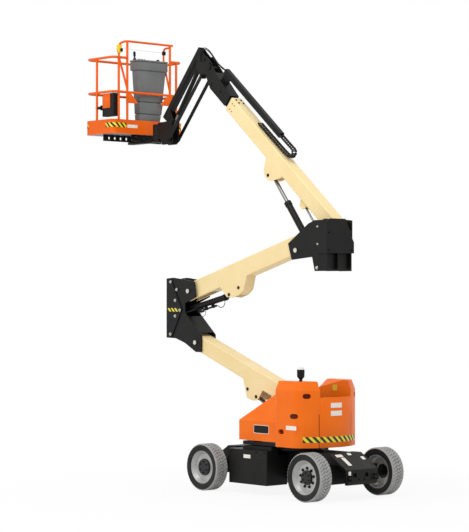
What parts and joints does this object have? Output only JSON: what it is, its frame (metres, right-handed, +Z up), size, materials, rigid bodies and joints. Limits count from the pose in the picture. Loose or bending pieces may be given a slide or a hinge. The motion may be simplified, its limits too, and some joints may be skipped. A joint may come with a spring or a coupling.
{
  "type": "articulating boom lift",
  "caption": "Self-propelled electric articulating boom lift: slewing turntable, folding tower booms, telescoping main boom, jib and railed work platform.",
  "frame": {"origin": "ground point under the slew axis", "axes": "+Z up, -X the way the boom points, +X the tail, -Y the left side of the machine"},
  "size_m": [5.9747, 1.765, 7.2669],
  "materials": {
    "solid_tyre": "matte",
    "wheel_grey": "satin",
    "orange_cover": "gloss",
    "orange_steel": "gloss",
    "cream_steel": "satin",
    "battery": "matte",
    "casting": "matte",
    "black_plastic": "matte",
    "grey_plastic": "satin",
    "rod_chrome": "polished",
    "floor_plate": "satin",
    "black_steel": "satin"
  },
  "bodies": {
    "chassis": {"chassis_frame": "black_steel", "battery_box_left": "black_steel", "battery_box_right": "black_steel", "battery_pack_left": "battery", "battery_pack_right": "battery", "drive_axle": "black_steel", "steer_axle": "black_steel", "slew_ring": "black_steel"},
    "turntable": {"turntable_base": "black_steel", "counterweight": "casting", "tail_cover": "orange_cover", "front_hood_left": "orange_cover", "front_hood_right": "orange_cover", "ground_control": "black_plastic"},
    "hood_left": {"hood_left": "orange_cover", "beacon": "black_plastic"},
    "hood_right": {"hood_right": "orange_cover"},
    "lower_boom": {"lower_boom": "cream_steel"},
    "lower_upright": {"lower_upright": "black_steel"},
    "mid_boom": {"mid_boom": "cream_steel"},
    "upper_upright": {"upper_upright": "black_steel", "upright_cover": "black_plastic"},
    "main_boom": {"main_boom": "cream_steel"},
    "fly_boom": {"fly_boom": "black_steel", "cable_carrier": "black_plastic"},
    "jib_base": {"jib_base": "black_steel"},
    "jib_arm": {"jib_arm": "black_steel"},
    "jib_link": {"jib_link": "black_steel"},
    "jib_end": {"jib_end": "black_steel"},
    "platform": {"platform_support": "black_steel", "platform_floor": "floor_plate", "platform_skirt": "orange_steel", "platform_rails": "orange_steel", "console": "grey_plastic", "document_box": "grey_plastic"},
    "lower_lift_barrel": {"lower_lift_barrel": "black_steel"},
    "lower_lift_rod": {"lower_lift_rod": "rod_chrome"},
    "mid_lift_barrel": {"mid_lift_barrel": "black_steel"},
    "mid_lift_rod": {"mid_lift_rod": "rod_chrome"},
    "main_lift_barrel": {"main_lift_barrel": "black_steel"},
    "main_lift_rod": {"main_lift_rod": "rod_chrome"},
    "level_barrel": {"level_barrel": "black_steel"},
    "level_rod": {"level_rod": "rod_chrome"},
    "jib_lift_barrel": {"jib_lift_barrel": "black_steel"},
    "jib_lift_rod": {"jib_lift_rod": "rod_chrome"},
    "drive_wheel_left": {"drive_left_tyre": "solid_tyre", "drive_left_rim": "wheel_grey"},
    "steer_wheel_left": {"steer_left_tyre": "solid_tyre", "steer_left_rim": "wheel_grey"},
    "knuckle_left": {"knuckle_left": "black_steel"},
    "drive_wheel_right": {"drive_right_tyre": "solid_tyre", "drive_right_rim": "wheel_grey"},
    "steer_wheel_right": {"steer_right_tyre": "solid_tyre", "steer_right_rim": "wheel_grey"},
    "knuckle_right": {"knuckle_right": "black_steel"}
  },
  "joints": [
    {"name": "slew", "type": "hinge", "parent": "chassis", "child": "turntable", "pos_m": [0, 0, 0.735], "axis": [0, 0, 1], "range_deg": [-178, 178]},
    {"name": "tower_lift", "type": "hinge", "parent": "turntable", "child": "lower_boom", "pos_m": [0.274, -0.13, 1.382], "axis": [0, 1, 0], "range_deg": [-27.5, 47.5]},
    {"name": "lower_upright_level", "type": "hinge", "parent": "lower_boom", "child": "lower_upright", "pos_m": [-2.066, -0.13, 2.262], "axis": [0, 1, 0], "range_deg": [-47.7, 27.7]},
    {"name": "mid_boom_lift", "type": "hinge", "parent": "lower_upright", "child": "mid_boom", "pos_m": [-2.246, -0.13, 3.083], "axis": [0, -1, 0], "range_deg": [-20.19, 34.73]},
    {"name": "upper_upright_level", "type": "hinge", "parent": "mid_boom", "child": "upper_upright", "pos_m": [0.23, -0.13, 3.703], "axis": [0, -1, 0], "range_deg": [-34.73, 20.19]},
    {"name": "main_boom_lift", "type": "hinge", "parent": "upper_upright", "child": "main_boom", "pos_m": [0.68, 0.13, 4.09], "axis": [0, 1, 0], "range_deg": [-42, 33]},
    {"name": "telescope", "type": "slide", "parent": "main_boom", "child": "fly_boom", "axis": [-0.7581, 0, 0.6521], "range_m": [0, 1.3]},
    {"name": "jib_level", "type": "hinge", "parent": "fly_boom", "child": "jib_base", "pos_m": [-2.10996, 0.13, 6.68997], "axis": [0, 1, 0], "range_deg": [-33.2, 42.2]},
    {"name": "jib_lift", "type": "hinge", "parent": "jib_base", "child": "jib_arm", "pos_m": [-2.26196, 0.13, 6.83497], "axis": [0, 1, 0], "range_deg": [-10.1, 133.9]},
    {"name": "jib_link_swing", "type": "hinge", "parent": "jib_base", "child": "jib_link", "pos_m": [-2.28996, 0.13, 6.56997], "axis": [0, 1, 0], "range_deg": [-10.3, 134.1]},
    {"name": "jib_end_level", "type": "hinge", "parent": "jib_arm", "child": "jib_end", "pos_m": [-3.08966, 0.13, 5.85205], "axis": [0, 1, 0], "range_deg": [-134.1, 10.3]},
    {"name": "platform_rotate", "type": "hinge", "parent": "jib_end", "child": "platform", "pos_m": [-3.51966, 0.13, 5.6], "axis": [0, 0, 1], "range_deg": [-90, 90]},
    {"name": "lower_lift_swing", "type": "hinge", "parent": "turntable", "child": "lower_lift_barrel", "pos_m": [0.35, -0.13, 0.85], "axis": [0, 1, 0], "range_deg": [-20.4, 35.08]},
    {"name": "lower_lift_extend", "type": "slide", "parent": "lower_lift_barrel", "child": "lower_lift_rod", "axis": [-0.8818, 0, 0.4717], "range_m": [-0.18546, 0.31888]},
    {"name": "mid_lift_swing", "type": "hinge", "parent": "lower_upright", "child": "mid_lift_barrel", "pos_m": [-2.48, -0.13, 2.772], "axis": [0, -1, 0], "range_deg": [-14.93, 25.64]},
    {"name": "mid_lift_extend", "type": "slide", "parent": "mid_lift_barrel", "child": "mid_lift_rod", "axis": [0.9761, 0, 0.2174], "range_m": [-0.07944, 0.13576]},
    {"name": "main_lift_swing", "type": "hinge", "parent": "upper_upright", "child": "main_lift_barrel", "pos_m": [0.23, 0.13, 3.68], "axis": [0, 1, 0], "range_deg": [-42.05, 33.09]},
    {"name": "main_lift_extend", "type": "slide", "parent": "main_lift_barrel", "child": "main_lift_rod", "axis": [-0.6073, 0, 0.7945], "range_m": [-0.41473, 0.32629]},
    {"name": "level_swing", "type": "hinge", "parent": "upper_upright", "child": "level_barrel", "pos_m": [0.56, 0.13, 3.7], "axis": [0, 1, 0], "range_deg": [-31.43, 24.74]},
    {"name": "level_extend", "type": "slide", "parent": "level_barrel", "child": "level_rod", "axis": [-0.612, 0, 0.7908], "range_m": [-0.25348, 0.19959]},
    {"name": "jib_lift_swing", "type": "hinge", "parent": "jib_base", "child": "jib_lift_barrel", "pos_m": [-2.41996, 0.13, 6.76997], "axis": [0, 1, 0], "range_deg": [-10.02, 130.39]},
    {"name": "jib_lift_extend", "type": "slide", "parent": "jib_lift_barrel", "child": "jib_lift_rod", "axis": [-0.5937, 0, -0.8047], "range_m": [-0.36652, 0.0295]},
    {"name": "drive_left_spin", "type": "hinge", "parent": "chassis", "child": "drive_wheel_left", "pos_m": [-1.244, -0.756, 0.362], "axis": [0, 1, 0], "continuous": true},
    {"name": "steer_left", "type": "hinge", "parent": "chassis", "child": "knuckle_left", "pos_m": [1.044, -0.585, 0.362], "axis": [0, 0, 1], "range_deg": [-40, 40]},
    {"name": "steer_left_spin", "type": "hinge", "parent": "knuckle_left", "child": "steer_wheel_left", "pos_m": [1.044, -0.756, 0.362], "axis": [0, 1, 0], "continuous": true},
    {"name": "hood_left_swing", "type": "hinge", "parent": "turntable", "child": "hood_left", "pos_m": [0.19, -0.575, 1.2], "axis": [0, 0, -1], "range_deg": [0, 75]},
    {"name": "drive_right_spin", "type": "hinge", "parent": "chassis", "child": "drive_wheel_right", "pos_m": [-1.244, 0.756, 0.362], "axis": [0, 1, 0], "continuous": true},
    {"name": "steer_right", "type": "hinge", "parent": "chassis", "child": "knuckle_right", "pos_m": [1.044, 0.585, 0.362], "axis": [0, 0, 1], "range_deg": [-40, 40]},
    {"name": "steer_right_spin", "type": "hinge", "parent": "knuckle_right", "child": "steer_wheel_right", "pos_m": [1.044, 0.756, 0.362], "axis": [0, 1, 0], "continuous": true},
    {"name": "hood_right_swing", "type": "hinge", "parent": "turntable", "child": "hood_right", "pos_m": [0.19, 0.575, 1.2], "axis": [0, 0, 1], "range_deg": [0, 75]}
  ],
  "couplings": [
    {"joint": "lower_upright_level", "follows": "tower_lift", "ratio": -1},
    {"joint": "mid_boom_lift", "follows": "tower_lift", "ratio": 0.727},
    {"joint": "upper_upright_level", "follows": "tower_lift", "ratio": -0.727},
    {"joint": "jib_level", "follows": "main_boom_lift", "ratio": -1},
    {"joint": "jib_link_swing", "follows": "jib_lift", "ratio": 1},
    {"joint": "jib_end_level", "follows": "jib_lift", "ratio": -1},
    {"joint": "lower_lift_swing", "follows": "tower_lift", "ratio": 0.7344},
    {"joint": "lower_lift_extend", "follows": "tower_lift", "m_per_rad": 0.38223},
    {"joint": "mid_lift_swing", "follows": "tower_lift", "ratio": 0.5355},
    {"joint": "mid_lift_extend", "follows": "tower_lift", "m_per_rad": 0.16135},
    {"joint": "main_lift_swing", "follows": "main_boom_lift", "ratio": 0.9965},
    {"joint": "main_lift_extend", "follows": "main_boom_lift", "m_per_rad": 0.56304},
    {"joint": "level_swing", "follows": "main_boom_lift", "ratio": 0.7437},
    {"joint": "level_extend", "follows": "main_boom_lift", "m_per_rad": 0.34306},
    {"joint": "jib_lift_swing", "follows": "jib_lift", "ratio": 0.9723},
    {"joint": "jib_lift_extend", "follows": "jib_lift", "m_per_rad": -0.15598},
    {"joint": "steer_right", "follows": "steer_left", "ratio": 1}
  ]
}
